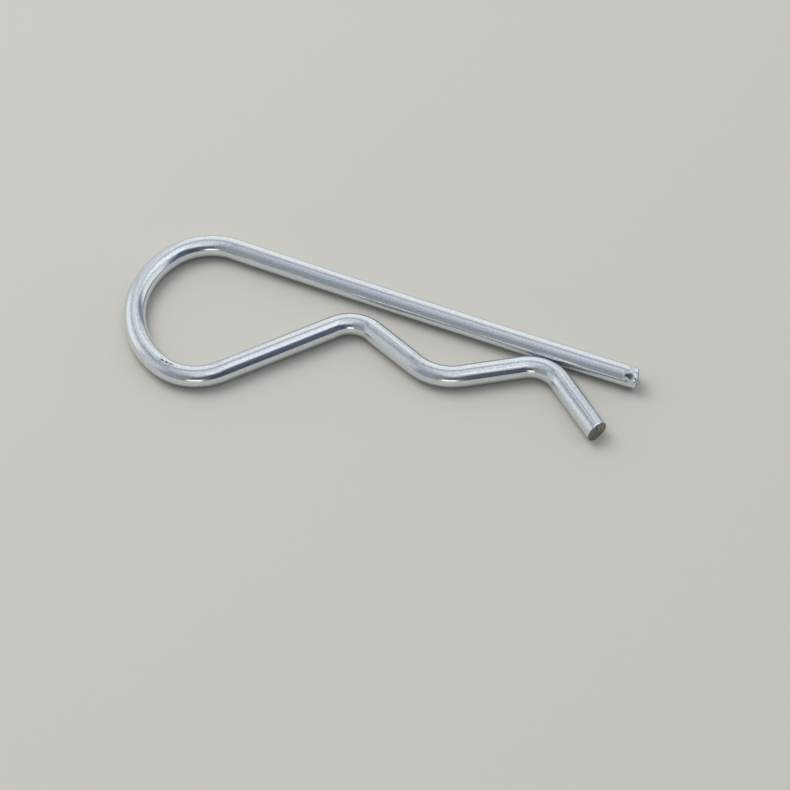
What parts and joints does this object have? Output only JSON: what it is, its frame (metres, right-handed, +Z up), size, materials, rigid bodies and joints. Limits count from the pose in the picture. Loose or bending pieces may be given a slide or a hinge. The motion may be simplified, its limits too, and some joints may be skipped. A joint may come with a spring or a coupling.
{
  "type": "hitch r clip pin",
  "caption": "Bent spring-wire R clip: a straight leg goes through a cross hole in a shaft, and a waved leg with a flared end grips the shaft's outside.",
  "frame": {"origin": "centre of the clip's outline, on the surface that it lies on, with the wire's centreline 2.5 mm above it", "axes": "+X along the straight leg, out of its free end; +Y from the bent leg towards the straight leg; +Z up, square to the plane that the wire is bent in"},
  "size_m": [0.1154, 0.0426, 0.005],
  "materials": {
    "zinc_plated_wire": "bright zinc plating on drawn spring steel wire, satin-bright"
  },
  "bodies": {
    "root": {"clip": "zinc_plated_wire"}
  },
  "joints": []
}
